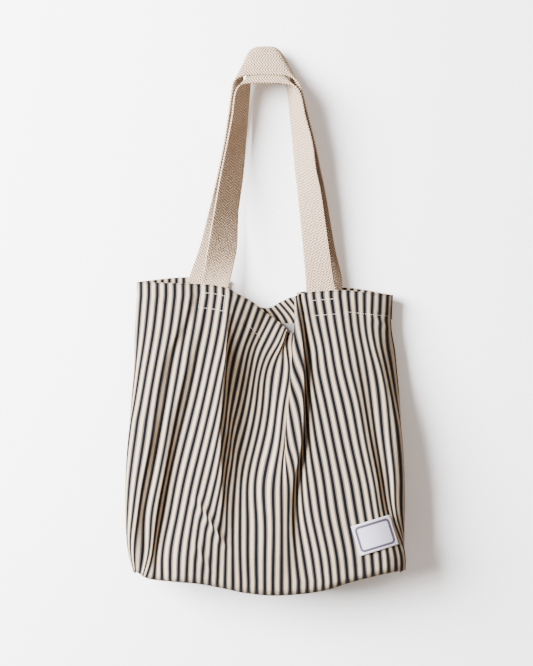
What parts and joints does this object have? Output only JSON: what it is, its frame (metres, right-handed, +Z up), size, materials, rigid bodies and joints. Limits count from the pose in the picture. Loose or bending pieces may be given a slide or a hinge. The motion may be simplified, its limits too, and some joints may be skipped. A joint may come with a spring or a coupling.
{
  "type": "foldable tote bag",
  "caption": "Flat cotton tote bag in striped cloth with a boxed base, hemmed mouth and long webbing carrying loops, hanging by its handles.",
  "frame": {"origin": "between the two handle tops, at the middle of the webbing's width, where they hang on a peg", "axes": "+Z up, -Y the bag's front, +X to the right seen from the front"},
  "size_m": [0.3402, 0.0777, 0.6725],
  "materials": {
    "ticking_cloth": "cotton twill woven with narrow black stripes on cream",
    "webbing": "thick natural cotton webbing, herringbone weave",
    "thread": "white sewing thread",
    "label_cloth": "smooth woven label cloth with a plain dark border",
    "care_cloth": "thin satin care-label tape, blank"
  },
  "bodies": {
    "back": {"back_panel": "ticking_cloth", "back_hem": "ticking_cloth", "side_seam_left": "ticking_cloth", "side_seam_right": "ticking_cloth", "bottom_seam": "ticking_cloth", "corner_seam_left": "ticking_cloth", "corner_seam_right": "ticking_cloth", "back_handle_end_left": "webbing", "back_handle_end_right": "webbing", "back_hem_stitch": "thread", "back_box_stitch_left": "thread", "back_box_stitch_right": "thread"},
    "front": {"front_panel": "ticking_cloth", "front_hem": "ticking_cloth", "front_hem_stitch": "thread", "front_handle_end_left": "webbing", "front_handle_end_right": "webbing", "front_box_stitch_left": "thread", "front_box_stitch_right": "thread", "label": "label_cloth", "label_stitch": "thread"},
    "front_handle": {"front_handle": "webbing"},
    "back_handle": {"back_handle": "webbing"},
    "care_label": {"care_label": "care_cloth"}
  },
  "joints": [
    {"name": "mouth_opening", "type": "hinge", "parent": "back", "child": "front", "pos_m": [0, -0.054, -0.67], "axis": [1, 0, 0], "range_deg": [0, 8]},
    {"name": "front_handle_swing", "type": "hinge", "parent": "front", "child": "front_handle", "pos_m": [0, -0.0045, -0.29], "axis": [1, 0, 0], "range_deg": [0, 150]},
    {"name": "back_handle_swing", "type": "hinge", "parent": "back", "child": "back_handle", "pos_m": [0, 0.0205, -0.283], "axis": [-1, 0, 0], "range_deg": [0, 160]},
    {"name": "care_label_swing", "type": "hinge", "parent": "back", "child": "care_label", "pos_m": [0.031, 0.0188, -0.334], "axis": [-1, 0, 0], "range_deg": [0, 60]}
  ]
}
